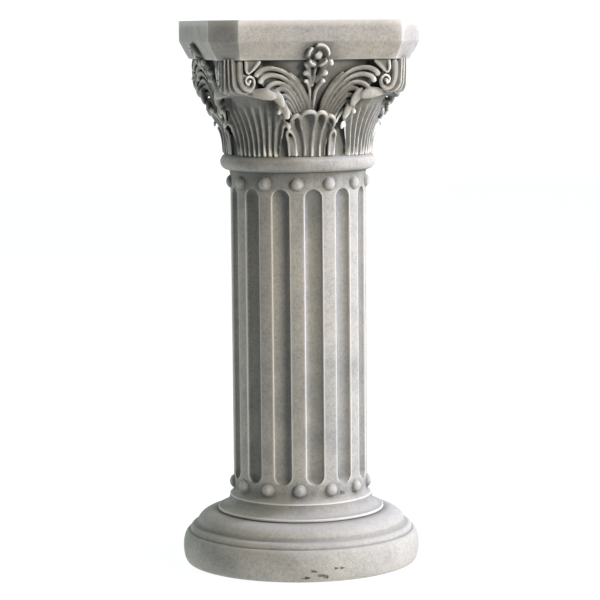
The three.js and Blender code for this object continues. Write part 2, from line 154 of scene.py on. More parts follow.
def smooth_path(points, count):
    """A smooth curve through given points."""
    p = np.asarray(points, float)
    p = np.vstack([2 * p[0] - p[1], p, 2 * p[-1] - p[-2]])
    places = np.linspace(0, len(p) - 3 - 1e-9, count)
    i = places.astype(int)
    t = (places - i)[:, None]
    a, b, c, d = p[i], p[i + 1], p[i + 2], p[i + 3]
    bend, twist = 2 * a - 5 * b + 4 * c - d, 3 * b - a - 3 * c + d
    return 0.5 * (2 * b + (c - a) * t + bend * t**2 + twist * t**3)


def rod(points, radii, count=24, sides=12, flat=1.0, out=None):
    """A rod along a curve, round or flattened towards out. Its ends are rounded."""
    path = smooth_path(points, count)
    share = np.linspace(0, 1, count)
    radius = np.interp(share, np.linspace(0, 1, len(radii)), radii)
    along = np.gradient(path, axis=0)
    along /= np.linalg.norm(along, axis=1, keepdims=True)
    across = np.cross(along, path * [1, 1, 0] if out is None else np.broadcast_to(out, path.shape))
    across /= np.linalg.norm(across, axis=1, keepdims=True)
    lift = np.cross(across, along)
    length = np.linalg.norm(np.diff(path, axis=0), axis=1).sum()
    gone = share * length
    for end, size in ((gone, radius[0]), (length - gone, radius[-1])):
        radius = radius * np.sqrt(np.clip(1 - np.clip(1 - end / size, 0, 1) ** 2, 0.02, 1))
    spin = np.linspace(0, TURN, sides, endpoint=False)
    rings = (
        path[:, None]
        + across[:, None] * (np.cos(spin)[None, :, None] * radius[:, None, None])
        + lift[:, None] * (np.sin(spin)[None, :, None] * radius[:, None, None] * flat)
    )
    return turned(rings)


def polar(angle, radius, z):
    """A point at an angle in degrees round the axis; 0 is the front."""
    a = np.radians(angle)
    return np.stack(np.broadcast_arrays(radius * np.sin(a), -radius * np.cos(a), z), -1)


def smoothstep(x, low, high):
    """Runs from 0 to 1 between low and high, level at both ends."""
    t = np.clip((x - low) / (high - low), 0, 1)
    return t * t * (3 - 2 * t)


def bell_radius(z):
    """Radius of the bell behind the leaves at a height."""
    share = np.clip((np.asarray(z, float) - RING_TOP) / BELL_HEIGHT, 0, 1)
    return BELL_FOOT_RADIUS + BELL_LIP_FLARE * share**2.2


def lathe(outline, sides):
    """A turned body from its radius and height along the profile."""
    outline = np.asarray(outline, float)
    angles = np.linspace(0, 360, sides, endpoint=False)
    return turned(polar(angles[None, :], outline[:, :1], outline[:, 1:]))

# %% [markdown]
# Bodies become a Blender mesh in one step. To fuse overlapping bodies there are two ways: a
# boolean keeps every edge crisp, and a voxel remesh pours one skin over everything, which rounds
# each crease a little. Cast stone leaves a worn mould with rounded creases, so the capital is
# remeshed and the plain turned parts are joined to it by booleans.

# %% Making and fusing meshes
def make_object(name, bodies):
    """A mesh object from closed bodies in millimetres, with all faces turned outwards."""
    points, faces, start = [], [], 0
    for body_points, body_faces in bodies:
        points.append(body_points)
        faces += [tuple(start + corner for corner in face) for face in body_faces]
        start += len(body_points)
    mesh = bpy.data.meshes.new(name)
    mesh.from_pydata(np.vstack(points) * MM, [], faces)
    bm = bmesh.new()
    bm.from_mesh(mesh)
    bmesh.ops.remove_doubles(bm, verts=bm.verts, dist=1e-6)
    bmesh.ops.recalc_face_normals(bm, faces=bm.faces)
    bm.to_mesh(mesh)
    bm.free()
    piece = bpy.data.objects.new(name, mesh)
    bpy.context.scene.collection.objects.link(piece)
    return piece


def apply_modifiers(piece):
    """Bakes the piece's modifiers into its mesh."""
    shown = piece.evaluated_get(bpy.context.evaluated_depsgraph_get())
    mesh = bpy.data.meshes.new_from_object(shown)
    piece.modifiers.clear()
    old = piece.data
    piece.data = mesh
    bpy.data.meshes.remove(old)


def fuse(piece, others, operation="UNION"):
    """Joins other pieces to this one, or cuts them out of it, and removes them."""
    for other in others:
        modifier = piece.modifiers.new("fuse", "BOOLEAN")
        modifier.operation = operation
        modifier.solver = "MANIFOLD"
        modifier.object = other
    apply_modifiers(piece)
    for other in others:
        mesh = other.data
        bpy.data.objects.remove(other)
        bpy.data.meshes.remove(mesh)


def triangles(piece):
    return sum(len(face.vertices) - 2 for face in piece.data.polygons)

# %% [markdown]
# The base is turned: a fat torus at the floor, a bead on its shoulder, a rounded ovolo, a thin
# fillet and a hollow that climbs to the shaft. Each member is a short formula or a few points in
# radius and height, and the profile is spun round the axis.

# %% Base
LATHE_SIDES = 128


def quarter(start, end, steps):
    """A quarter round that leaves its first point straight up."""
    turn = np.linspace(0, math.pi / 2, steps)
    radius = end[0] + (start[0] - end[0]) * np.cos(turn)
    return list(zip(radius, start[1] + (end[1] - start[1]) * np.sin(turn)))


def base_profile():
    """Radius and height along the base, from under its foot to its end inside the shaft."""
    foot, crease, torus_height, bead_top, ovolo_top = 166.5, 164.4, 45.8, 55.4, 76.0
    middle = torus_height / 2
    heights = middle - middle * np.cos(np.linspace(0.25, math.pi - 0.12, 26))
    share = (heights - middle) / middle
    edge = np.where(share < 0, foot, crease)
    torus = list(zip(edge + (TORUS_RADIUS - edge) * np.sqrt(1 - share**2), heights))
    corner = [(0, 0), (foot - 3.4, 0), (foot - 1.4, 0.4)]
    bead = quarter((163.6, torus_height + 0.6), (155.6, bead_top - 0.9), 8)
    ovolo = quarter((152.6, bead_top + 1.2), (119.6, ovolo_top), 16)
    fillet = [(119.2, 76.4), (121.0, 76.6), (121.7, 77.4), (121.7, 79.8), (120.9, 80.6)]
    turn = np.linspace(0.08, math.pi / 2, 12)
    hollow = list(zip(121 - 16.6 * np.sin(turn), 98.0 - 17.2 * np.cos(turn)))
    flare = [(104.5, 98.4), (104.2, 99.2), (102.6, 100.2), (101.0, 101.6), (99.8, 103.4)]
    flare += [(99.0, 105.6), (98.5, 108.2), (97.6, 111.0), (0, 111.0)]
    shoulder, step = [(163.9, torus_height)], [(153.4, bead_top)]
    return corner + torus + shoulder + bead + step + ovolo + fillet + hollow + flare


base = make_object("base", [lathe(base_profile(), LATHE_SIDES)])
print("base", triangles(base), "triangles")

# %% [markdown]
# The shaft has thirteen flutes. Each is a hollow with a round head at both ends, and the stone
# between two flutes is a plain land. The points of a row crowd together where a flute narrows, so
# its round head is a true half circle with few points. Round studs sit in line with the lands,
# where the flutes end.

# %% Shaft
FLUTES = 13
FLUTE_HALF = 13.1
FLUTE_DEPTH = 7.5
FLUTE_FOOT = BASE_HEIGHT + 26.8
FLUTE_NECK = SHAFT_TOP - 24.1
FLUTE_PITCH = 360 / FLUTES
FLUTE_EDGE = 1.12
NEARLY_SHUT = 1e-3
STUD_HALF = 10.0
STUD_RISE = 6.5
STUD_HEIGHTS = (BASE_HEIGHT + 18.8, SHAFT_TOP - 16.8)


def shaft_row(z, radius, open_share):
    """One ring of the shaft: how far open its flutes are runs from 0 to 1."""
    across = np.array([-FLUTE_EDGE, -1.06, -1.02, -0.97, -0.9, -0.78, -0.6, -0.4, -0.2, 0])
    across = np.concatenate([across, -across[-2::-1]])
    half = math.degrees(FLUTE_HALF / SHAFT_RADIUS) * open_share
    sunk = np.sqrt(np.clip(1 - across**2, 0, 1)) ** 1.1
    soft = np.clip((FLUTE_EDGE - np.abs(across)) / (FLUTE_EDGE - 0.95), 0, 1) ** 2 * 0.06
    depth = FLUTE_DEPTH * open_share * np.maximum(sunk, soft)
    land = np.linspace(half * FLUTE_EDGE, FLUTE_PITCH - half * FLUTE_EDGE, 6)[1:-1]
    row = []
    for flute in range(FLUTES):
        row.append(polar(flute * FLUTE_PITCH + across * half, radius - depth, z))
        row.append(polar(flute * FLUTE_PITCH + land, radius, z))
    return np.vstack(row)


def shaft_rows():
    """All rings of the shaft from its foot to its neck, where it flares a little."""
    rows = [shaft_row(BASE_HEIGHT + rise, SHAFT_RADIUS, NEARLY_SHUT) for rise in (-8, 4, 10, 14, 18, 22)]
    turns = np.linspace(0.02, math.pi / 2, 12)
    reach = FLUTE_HALF
    for turn in turns:
        rows.append(shaft_row(FLUTE_FOOT + reach * (1 - math.cos(turn)), SHAFT_RADIUS, math.sin(turn)))
    for z in np.linspace(FLUTE_FOOT + reach, FLUTE_NECK - reach, 14)[1:-1]:
        rows.append(shaft_row(z, SHAFT_RADIUS, 1))
    for turn in turns[::-1]:
        rows.append(shaft_row(FLUTE_NECK - reach * (1 - math.cos(turn)), SHAFT_RADIUS, math.sin(turn)))
    for drop, flare in ((18, 0), (10, 0), (5, 0.5), (2, 1.3), (0, 2.1), (-6, 2.1)):
        rows.append(shaft_row(SHAFT_TOP - drop, SHAFT_RADIUS + flare, NEARLY_SHUT))
    return np.array(rows)


def stud(angle, z):
    """A round dome whose back is buried in the shaft."""
    ball = (STUD_HALF**2 + STUD_RISE**2) / (2 * STUD_RISE)
    tilt = np.linspace(0.02, math.pi * 0.62, 8)[:, None]
    spin = np.linspace(0, TURN, 18, endpoint=False)[None, :]
    side = ball * np.sin(tilt) * np.cos(spin)
    out = SHAFT_RADIUS + STUD_RISE - ball + ball * np.cos(tilt) + 0 * spin
    turn = angle + np.degrees(np.arctan2(side, out))
    return turned(polar(turn, np.hypot(side, out), z + ball * np.sin(tilt) * np.sin(spin)))


shaft = make_object("shaft", [turned(shaft_rows())])
stud_angles = [(flute + 0.5) * FLUTE_PITCH for flute in range(FLUTES)]
studs = make_object("studs", [stud(angle, z) for angle in stud_angles for z in STUD_HEIGHTS])
print("shaft", triangles(shaft), "studs", triangles(studs), "triangles")

# %% [markdown]
# The ring under the capital is a plain roll. The bell behind the leaves flares towards the top,
# and more towards the corners than in the middle of a side, where the stem stands in a shallow
# recess. The corner core is the stone that the two volutes of a corner hang on.

# %% Ring, bell and corner cores
def ring_body():
    """The roll between the shaft and the capital."""
    turn = np.linspace(-math.pi / 2, math.pi / 2, 22)
    centre = RING_RADIUS - RING_TUBE
    radius = centre + RING_TUBE * np.cos(turn)
    height = SHAFT_TOP + RING_TUBE + RING_TUBE * np.sin(turn)
    return lathe([(0, SHAFT_TOP), *zip(radius, height), (0, RING_TOP)], LATHE_SIDES)


def bell_body():
    """The plain bell that the leaves stand on."""
    angle = np.linspace(0, 360, 180, endpoint=False)[None, :]
    z = np.linspace(RING_TOP - 6, BELL_TOP + 1, 40)[:, None]
    share = np.clip((z - RING_TOP) / BELL_HEIGHT, 0, 1)
    corner = 0.5 - 0.5 * np.cos(np.radians(4 * angle))
    recess = 3.5 * np.exp(-(((angle + 45) % 90 - 45) / 4.5) ** 2) * smoothstep(share, 0.4, 0.55)
    return turned(polar(angle, bell_radius(z) + 19 * share**2.5 * corner - recess, z))


def corner_core():
    """The stone in one corner, which draws in towards its foot."""
    rings = []
    levels = ((BELL_TOP + 1, 0), (EYE_Z + 6, 1), (EYE_Z - 6, 6), (RING_TOP + 84, 11), (RING_TOP + 58, 25))
    for z, inset in levels:
        face, reach, flank = VOLUTE_PLANE - 9 - inset, EYE_X - inset, EYE_X * 0.8 - inset
        plan = [(flank, -face), (reach, -face), (face, -reach), (face, -flank), (flank - 30, 30 - flank)]
        rings.append([(x, y, z) for x, y in plan])
    return turned(np.array(rings))


ring = make_object("ring", [ring_body()])
print("ring", triangles(ring), "triangles")

# %% [markdown]
# The leaf in the middle of each side is a fan of four hollows, the second of them the widest, as
# in the photo. The ridges between them lean outwards, and the rim runs over the top of each
# hollow as a small arch, where the lip curls out. A narrow hollowed leaflet leans on each edge.

# %% Middle leaf
LOBE_FOOT = (-13.2, -7.2, -1.9, 4.0, 8.8)
LOBE_TOP = (-17.2, -10.9, 0.1, 7.1, 13.6)
LEAF_HEIGHT = 66.0


def leaf_point(q, v, lift=0.0):
    """A point of the middle leaf: q counts the lobes across it and v runs up it."""
    foot, top = np.interp(q, range(5), LOBE_FOOT), np.interp(q, range(5), LOBE_TOP)
    angle = foot + (top - foot) * smoothstep(v, 0.15, 1.0)
    rise = LEAF_HEIGHT - 4 - 10.5 * (np.abs(top + 2.2) / 15) ** 2.2 + 3.2 * np.sin(math.pi * (q % 1)) ** 0.7
    z = RING_TOP - 1.5 + v * rise
    radius = bell_radius(z) + 4.6 + 12 * np.clip(v, 0, 1.2) ** 3.2 - 0.8 * np.abs(q - 2) + lift
    return polar(angle, radius, z)


def middle_leaf():
    """The fan of four hollows, its rim and the two side leaflets."""
    q = np.linspace(0, 4, 97)[None, :]
    v = np.linspace(0, 1, 44)[:, None]
    off = np.abs(q % 1 - 0.5) * 2
    scoop = smoothstep(1 - off, 0.12, 0.78)
    depth = (3.4 + 3.0 * smoothstep(v, 0.5, 0.85)) * (1 - smoothstep(v, 0.9, 0.98))
    bodies = [sheet(leaf_point(q + 0 * v, v + 0 * q, -depth * scoop), polar(-2, 82.0, RING_TOP + 52))]
    for lobe in range(4):
        side = [(0.0, 0.6, -1.2), (0.02, 0.8, -0.8), (0.06, 0.94, -0.2), (0.22, 0.985, 0.2)]
        arch = [leaf_point(lobe + place, v, lift) for place, v, lift in side]
        arch += [leaf_point(lobe + 0.5, 0.99, 0.6)]
        arch += [leaf_point(lobe + 1 - place - 1e-6, v, lift) for place, v, lift in side[::-1]]
        bodies.append(rod(arch, [1.2, 2.0, 2.7, 3.2, 3.3, 3.2, 2.7, 2.0, 1.2], count=64))
    for angle, lean, half in ((-16.4, -2.3, 2.5), (13.2, 0.4, 2.1)):
        bodies += hollow_leaflet(angle, lean, half, 37.0)
    return bodies


def hollow_leaflet(angle, lean, half, tall):
    """A narrow leaflet with a thick rim round a groove."""
    def at(side, rise, out):
        z = RING_TOP - 1 + rise
        return polar(angle + lean * (rise / tall) ** 2 + side * half, bell_radius(z) + out, z)

    rim = [at(-1, 0, 4), at(-1, tall * 0.5, 5), at(-0.9, tall * 0.85, 7.5), at(0, tall, 10)]
    rim += [at(0.9, tall * 0.85, 7.5), at(1, tall * 0.5, 5), at(1, 0, 4)]
    core = [at(0, 0, 1.5), at(0, tall * 0.5, 2), at(0, tall * 0.82, 3.5)]
    return [rod(rim, [1.6, 1.7, 2.1, 2.5, 2.1, 1.7, 1.6], count=44), rod(core, [4.0, 4.0, 3.4], count=20)]

# %% [markdown]
# The great leaf under each corner has nine long grooves, and the ribs between them spread like a
# hand and lean out. Its lip rolls over below the volutes: broad lobes droop from it and throw a
# shadow on the ribs. One hangs at the corner itself, and four step down each edge. Every spot of
# a lobe is its angle from the corner, its height above the floor and its distance from the axis.

# %% Corner leaf
CORNER_HALF_ANGLE = 24.5
CORNER_HEIGHT = 90.0
GROOVES = 9


def corner_point(u, v, lift=0.0):
    """A point of the corner leaf, measured from the middle of the corner."""
    widen = 0.8 + 0.2 * smoothstep(v, 0.15, 0.95)
    z = RING_TOP - 1.5 + v * CORNER_HEIGHT * (1 - 0.36 * np.abs(u) ** 6)
    lean = 30 * np.clip(v, 0, 1.2) ** 2.2 * (1 - 0.62 * np.abs(u) ** 1.7) - 9 * smoothstep(v, 0.72, 0.98)
    return polar(45 + u * CORNER_HALF_ANGLE * widen, bell_radius(z) + 4.2 + lean + lift, z)


def corner_leaf():
    """The ribbed leaf, its lip and the lobes that droop from it."""
    u = np.linspace(-1, 1, 163)[None, :]
    v = np.linspace(0, 1, 50)[:, None]
    wave = (0.5 + 0.5 * np.cos((u * GROOVES + 1) * math.pi)) ** 0.85
    fade = smoothstep(v, -0.1, 0.1) * (1 - 0.25 * smoothstep(v, 0.9, 1.0))
    relief = 5.4 * (wave - 0.62) * fade
    bodies = [sheet(corner_point(u + 0 * v, v + 0 * u, relief), polar(45, 72.0, RING_TOP + 62))]
    u = np.linspace(-0.92, 0.92, 61)[None, :]
    edge = 146 + 6 * smoothstep(np.abs(u), 0.15, 0.5) - 11 * smoothstep(np.abs(u), 0.6, 1)
    rim = 689.5 - 7 * np.abs(u) ** 1.5
    fall = ((30, 7), (16, 6.5), (5, 4), (0, 0), (1.5, -3.5))
    ledge = [(edge - back, rim + rise) for back, rise in fall]
    rows = np.stack([polar(45 + u[0] * 22.5, radius[0], z[0]) for radius, z in ledge])
    bodies.append(sheet(rows, polar(45, 116.0, 684.0)))
    middle = [(-8, 689, 149), (-3, 690, 151), (3, 690, 151), (8, 689, 149)]
    lobes = [(middle, [3.5, 5.0, 5.0, 3.5], 0.62)]
    for side in (-1, 1):
        for spots, radii in (
            (((4.5, 689, 157), (9.5, 689, 155), (15, 688, 150), (20.5, 683, 145)), [2.6, 6.0, 8.6, 5.0]),
            (((15, 692, 140), (19.5, 687, 141), (22.4, 678, 139), (23.8, 669, 136)), [4.5, 7.6, 6.6, 2.8]),
            (((20.6, 676, 129), (23.4, 671, 131), (25.4, 661, 130), (26.2, 652, 127)), [2.8, 6.0, 5.4, 2.6]),
            (((22.0, 640, 115), (24.2, 645, 118), (26.2, 643, 121), (27.0, 637, 121)), [2.2, 3.4, 3.4, 2.2]),
        ):
            lobes.append(([(side * angle, z, radius) for angle, z, radius in spots], radii, 0.62))
    for spots, radii, flat in lobes:
        path = [polar(45 + angle, radius, z) for angle, z, radius in spots]
        bodies.append(rod(path, radii, count=26, sides=16, flat=flat))
    return bodies

# %% [markdown]
# The fronds look like feathers: seven strips spring from a stalk beside the stem, arch over and
# end in tips that turn down, each a little lower than the last. The table gives every strip as
# distances from the middle of the side and heights above the ring. A strip is a flat finger with
# a sharp crest along its upper edge, and a sheet a little below them closes the gaps.

# %% Fronds
STRIPS = (
    ((10, 60), (16, 80), (30, 103), (50, 120), (70, 124), (84, 119), (90, 110)),
    ((13.5, 58), (20, 77), (33, 97), (51, 111.5), (68, 114.5), (79, 110), (84, 100.5)),
    ((17, 57), (24, 74), (36, 91), (50, 102), (62, 103), (71, 98), (74, 91)),
    ((20, 55), (27, 70), (37, 85), (47, 94), (55, 94.5), (61, 90), (63, 84)),
    ((23, 52), (30, 66), (38, 78), (45, 84.5), (51, 85), (55, 81), (56.5, 77)),
    ((26, 50), (32, 61), (39, 72), (46, 76.5), (51, 75), (53.5, 71), (54, 68)),
    ((30, 46), (35, 56), (41, 65), (48, 67), (53, 64), (54.5, 58)),
)
STRIP_POINTS = 26
SHEET_DEPTH = 3.6


def frond_face(x, z):
    """How far the fronds stand from the axis plane: from the bell out to the volutes."""
    start = bell_radius(z) + 3
    return start + (VOLUTE_PLANE - 3 - start) * smoothstep(x, 16, EYE_X - 8)


def frond(side):
    """The feather on one side of the stem; side is -1 for the left and 1 for the right."""
    ground = []
    bodies = []
    for number, strip in enumerate(STRIPS):
        x, z = smooth_path(strip, STRIP_POINTS).T
        z = z + RING_TOP
        out = frond_face(x, z)
        share = np.linspace(0, 1, STRIP_POINTS)
        slope = np.stack([-np.gradient(z), np.gradient(x)])
        slope /= np.linalg.norm(slope, axis=0)
        ground.append(np.stack([side * x, SHEET_DEPTH - out, z], -1)[:-2])
        droop = 2.5 * smoothstep(share, 0.55, 0.9) - 2.0 * smoothstep(share, 0.9, 1.0)
        finger = np.stack([side * x, -out - droop, z], -1)
        edge = 1.9 * np.sin(math.pi * (0.15 + 0.75 * share))
        proud = 2.3 * np.sin(math.pi * (0.1 + 0.8 * share))
        crest = finger + np.stack([side * slope[0] * edge, -proud, slope[1] * edge], -1)
        wide = (1.5, 1.8, 2.6, 3.4, 3.9, 3.7) if number < 5 else (1.3, 1.6, 2.4, 3.0, 3.2, 2.8)
        bodies.append(rod(finger[::3], wide, count=40, flat=0.8, out=(0, -1, 0)))
        bodies.append(rod(crest[:-2:3], (0.8, 1.1, 1.4, 1.5, 1.4), count=40, sides=8, out=(0, -1, 0)))
    bodies.append(sheet(np.array(ground), (side * (EYE_X - 50), -66.0, RING_TOP + 88)))
    stalk = [(7, 58), (11, 76), (18, 93), (28, 108), (40, 118)]
    path = [(side * x, -bell_radius(RING_TOP + rise) - 2.5, RING_TOP + rise) for x, rise in stalk]
    bodies.append(rod(path, [3.0, 3.2, 3.0, 2.6, 2.0], count=30, flat=0.8, out=(0, -1, 0)))
    return bodies

# %% [markdown]
# Two volutes meet at each corner. They share a wide rim with three bands, which hangs from the
# square top, turns under at the bottom and winds into an eye on each face. The body is lofted
# from one face to the other, and a flat rod that winds inwards makes the limb and its coil. A
# leaf shaped like a V fills the notch above the eye.

# %% Volutes
VOLUTE_INNER = 8.5
VOLUTE_OUTER = 19.0
VOLUTE_DROP = 17.5


def volute_body():
    """The banded rim of one corner, from the eye on one face to the eye on the other."""
    limb = EYE_X + VOLUTE_OUTER
    turn = np.linspace(0, math.pi, 21)
    reach = np.where(np.cos(turn) < 0, VOLUTE_INNER, VOLUTE_OUTER)
    arc = np.stack([EYE_X + reach * np.cos(turn), EYE_Z - VOLUTE_DROP * np.sin(turn)], -1)
    top = [(EYE_X - 6, EYE_Z + 6), (EYE_X, EYE_Z + 8.5), (EYE_X + 6, EYE_Z + 8), (EYE_X + 8, EYE_Z + 12)]
    rise = [(EYE_X + 8.5, BELL_TOP + 2), (limb + 1.5, BELL_TOP + 2), (limb + 1, BELL_TOP - 12)]
    outline = np.vstack([arc, top, rise])
    share = np.linspace(0, 1, 61)[:, None]
    bands = np.abs(np.sin(share * 3 * math.pi)) ** 0.75
    rim = smoothstep(outline[:, 0], EYE_X - 4, EYE_X + 8)[None, :]
    bulge = (7.0 * bands - 3.4) * (0.35 + 0.65 * rim)
    x, z = outline[None, :, 0], outline[None, :, 1] - bulge * 0.3 * (1 - rim)
    rings = np.stack([
        x + (VOLUTE_PLANE - x) * share + bulge * 0.707,
        -VOLUTE_PLANE + (-x + VOLUTE_PLANE) * share - bulge * 0.707,
        z + 0 * share,
    ], -1)
    return turned(rings)


def on_volute(mirrored, x, out, z):
    """A point on the front face, or on the right face when mirrored about the corner."""
    return np.array([out, -x, z]) if mirrored else np.array([x, -out, z])


def volute_trim(mirrored):
    """The limb with its coil and eye, and the leaf above them."""
    out = on_volute(mirrored, 0, 1, 0)
    winding = (
        (13.6, 30, 0), (13.6, 20, 0), (13.4, 9, 0), (12.2, 0, 0), (8.6, -8, 0), (2.4, -11.6, 0.3),
        (-3.4, -9.2, 0.8), (-6.2, -3.0, 1.2), (-5.2, 3.4, 1.8), (-1.0, 6.8, 2.4), (3.6, 5.4, 3),
        (5.6, 1.0, 3.4), (3.6, -3.4, 3.8), (0.0, -4.2, 4.2),
    )
    coil = [on_volute(mirrored, EYE_X + x, VOLUTE_PLANE + rise, EYE_Z + z) for x, z, rise in winding]
    radii = [4.8, 4.8, 4.7, 4.4, 4.0, 3.3, 2.7, 2.3, 2.1, 1.9, 1.8, 1.6, 1.5, 1.4]
    bodies = [rod(coil, radii, count=120, sides=14, flat=0.7, out=out)]
    spots = [(VOLUTE_PLANE + rise, EYE_Z + 0.01 * rise) for rise in (-6, 0, 4, 7)]
    eye = [on_volute(mirrored, EYE_X + 0.4, away, z) for away, z in spots]
    bodies.append(rod(eye, [2.6, 2.5, 2.4, 1.8], count=14))
    tip, top = (2.5, 10.0), 29.5
    for edge, reach, thick in ((-1, -15.0, 2.6), (1, 5.2, 2.3)):
        arm = [(tip[0], tip[1], 3.0), (tip[0] + edge * 1.8 + (reach - tip[0]) * 0.3, 17, 3.6),
               (tip[0] + (reach - tip[0]) * 0.75, 24, 2.6), (reach, top, 0)]
        path = [on_volute(mirrored, EYE_X + x, VOLUTE_PLANE + rise, EYE_Z + z) for x, z, rise in arm]
        bodies.append(rod(path, [1.4, thick, thick * 1.25, thick * 1.2], count=24, flat=0.8, out=out))
    v = np.linspace(0, 1, 8)[:, None]
    u = np.linspace(0, 1, 12)[None, :]
    x = EYE_X + tip[0] + (-17.5 + 20.5 * u) * v
    z = EYE_Z + tip[1] + (top - tip[1]) * v + 0 * u
    rows = np.stack([on_volute(mirrored, a, VOLUTE_PLANE + 1.8, b) for a, b in zip(x.ravel(), z.ravel())])
    heart = on_volute(mirrored, EYE_X - 6, VOLUTE_PLANE - 26, EYE_Z + 24)
    bodies.append(sheet(rows.reshape(8, 12, 3), heart))
    return bodies

# %% [markdown]
# A round flower sits on the middle of each side of the square top, over the bevel. A deep ring
# runs between the ball in its middle and four cupped petals, and a slit parts each petal from the
# next. Two stalks climb from the middle leaf and curl over, one to each side, a third goes up to
# the flower, and curled leaflets stand beside it. Each row of the table gives a rod's spots
# (distance from the middle of the side, height above the ring, distance off the bell), its radii
# and its number of rings.

# %% Flower and stem
FLOWER_RADIUS = 17.6
FLOWER_REACH = 151.5
FLOWER_X = -2.6
FLOWER_Z = BELL_TOP + 6.0
FLOWER_TILT = 0.5
FLOWER_BALL = 5.6
TRENCH_DEPTH = 7.0
SLIT_DEPTH = 8.5
SLITS = (105, 180, 252, 329)


def flower():
    """The flower's cupped face on a short post, with the ball in its middle."""
    spin = np.linspace(0, 360, 120, endpoint=False)[None, :]
    share = np.linspace(0.02, 1, 24)[:, None]
    away = np.min([np.abs((spin - slit + 180) % 360 - 180) for slit in SLITS], axis=0)
    slit = np.exp(-((away * share / 7.5) ** 2)) * smoothstep(share, 0.36, 0.46)
    edge = FLOWER_RADIUS * (1 - 0.16 * np.exp(-((away / 13) ** 2)))
    trench = TRENCH_DEPTH * smoothstep(share, 0.28, 0.38) * (1 - smoothstep(share, 0.46, 0.8))
    fall = 4.5 * smoothstep(share, 0.86, 1) + 1.0 * (1 - smoothstep(share, 0.5, 0.82))
    a = np.radians(spin)
    rise = edge * share * np.cos(a)
    out = FLOWER_REACH - trench - fall - SLIT_DEPTH * slit + FLOWER_TILT * rise
    face = np.stack([FLOWER_X + edge * share * np.sin(a), -out, FLOWER_Z + rise], -1)
    back = face[-1:] * [1, 0, 1] + [0, 22 - FLOWER_REACH, 0]
    ends = [(FLOWER_X, 9 - FLOWER_REACH, FLOWER_Z), (FLOWER_X, 0.5 - FLOWER_REACH, FLOWER_Z + 0.1)]
    ball = rod(ends, [FLOWER_BALL, FLOWER_BALL], count=16, sides=20)
    return [turned(np.concatenate([face, back])), ball]


def climbing(spots, radii, count):
    """A rod over the bell, from one row of the table of the stem."""
    points = [(x, -bell_radius(RING_TOP + z) - out, RING_TOP + z) for x, z, out in spots]
    return rod(points, radii, count=count, out=(0, -1, 0))


STEM_RODS = (
    (((-4, 58, 3), (-3.2, 70, 3), (-0.7, 90, 3.5), (4.4, 101, 5), (8, 106, 8), (9.5, 103, 10)),
     (1.6, 2.2, 2.8, 3.4, 3.6, 2.6), 34),
    (((-8.4, 58, 3), (-8.6, 72, 3), (-8.6, 90, 3.5), (-11.3, 100, 4.5), (-15, 106, 7), (-18.4, 104.5, 9)),
     (1.8, 2.0, 2.2, 2.3, 2.6, 2.0), 34),
    (((-5.2, 98, 2.5), (-4.4, 110, 4), (-2.8, 127, 8)), (1.4, 2.0, 2.4), 26),
    (((-1, 103, 2.5), (3.4, 113, 4.5), (9, 118, 7.5), (13.6, 114, 9)), (2.2, 4.0, 5.2, 3.4), 26),
    (((-8.2, 98, 2.5), (-10, 110, 4), (-15, 117.5, 7), (-20, 115, 8)), (1.8, 3.0, 4.4, 3.0), 26),
    (((1.5, 114, 2.5), (6.5, 122, 5), (12, 130, 10), (16.6, 133, 14), (18, 127, 15)),
     (2.2, 3.6, 3.4, 3.4, 2.4), 26),
    (((-9, 112, 2.5), (-12, 121, 5), (-16, 129, 10), (-20.5, 130, 12)), (1.8, 3.4, 4.4, 2.8), 26),
)


def stem():
    """The stalks that climb to the flower, and their leaflets."""
    return [climbing(*row) for row in STEM_RODS]

# %% [markdown]
# The four sides are the same, so one side with one corner is made and turned three times. One
# voxel skin is then poured over the whole capital, eased twice to take off the stair steps of the
# voxels, and thinned where it is plain.

# %% Capital
VOXEL = 0.0009
CAPITAL_TRIANGLES = 122000


def turned_about(body, angle):
    """The body turned round the column's axis."""
    a = math.radians(angle)
    turn = np.array([[math.cos(a), math.sin(a), 0], [-math.sin(a), math.cos(a), 0], [0, 0, 1]])
    return body[0] @ turn, body[1]


side_bodies = middle_leaf() + corner_leaf() + frond(-1) + frond(1) + flower() + stem()
side_bodies += [corner_core(), volute_body()] + volute_trim(False) + volute_trim(True)
four_sides = [turned_about(body, side * 90) for side in range(4) for body in side_bodies]
capital = make_object("capital", [bell_body()] + four_sides)
print("capital bodies", len(four_sides) + 1, "triangles", triangles(capital))

skin = capital.modifiers.new("skin", "REMESH")
skin.mode = "VOXEL"
skin.voxel_size = VOXEL
ease = capital.modifiers.new("ease", "SMOOTH")
ease.factor = 0.5
ease.iterations = 2
apply_modifiers(capital)
print("voxel skin", triangles(capital))
thin = capital.modifiers.new("thin", "DECIMATE")
thin.ratio = min(1, CAPITAL_TRIANGLES / triangles(capital))
apply_modifiers(capital)
print("capital", triangles(capital), "triangles")

# %% [markdown]
# The square top is a slab with clipped corners. Its band stands upright and a bevel leads in to
# the capital. The edges of the casting are worn round, so every edge gets a small bevel. Rings of
# points on the flat top keep the pale wear and painted highlight at its edge from spreading over
# it.

# %% Square top
WORN_EDGE = 1.4


def slab_ring(z, inset):
    """The clipped square at a height, with evenly spaced points along its sides."""
    half = ABACUS_HALF - inset
    leg = CORNER_LEG - inset * (2 - math.sqrt(2))
    plan = np.array([(leg - half, -half), (half - leg, -half), (half, leg - half)])
    side = [plan[0] + (plan[1] - plan[0]) * k / 24 for k in range(24)]
    side += [plan[1] + (plan[2] - plan[1]) * k / 6 for k in range(6)]
    turns = ((1, 0), (0, 1), (-1, 0), (0, -1))
    return [(x * c - y * s, x * s + y * c, z) for c, s in turns for x, y in side]


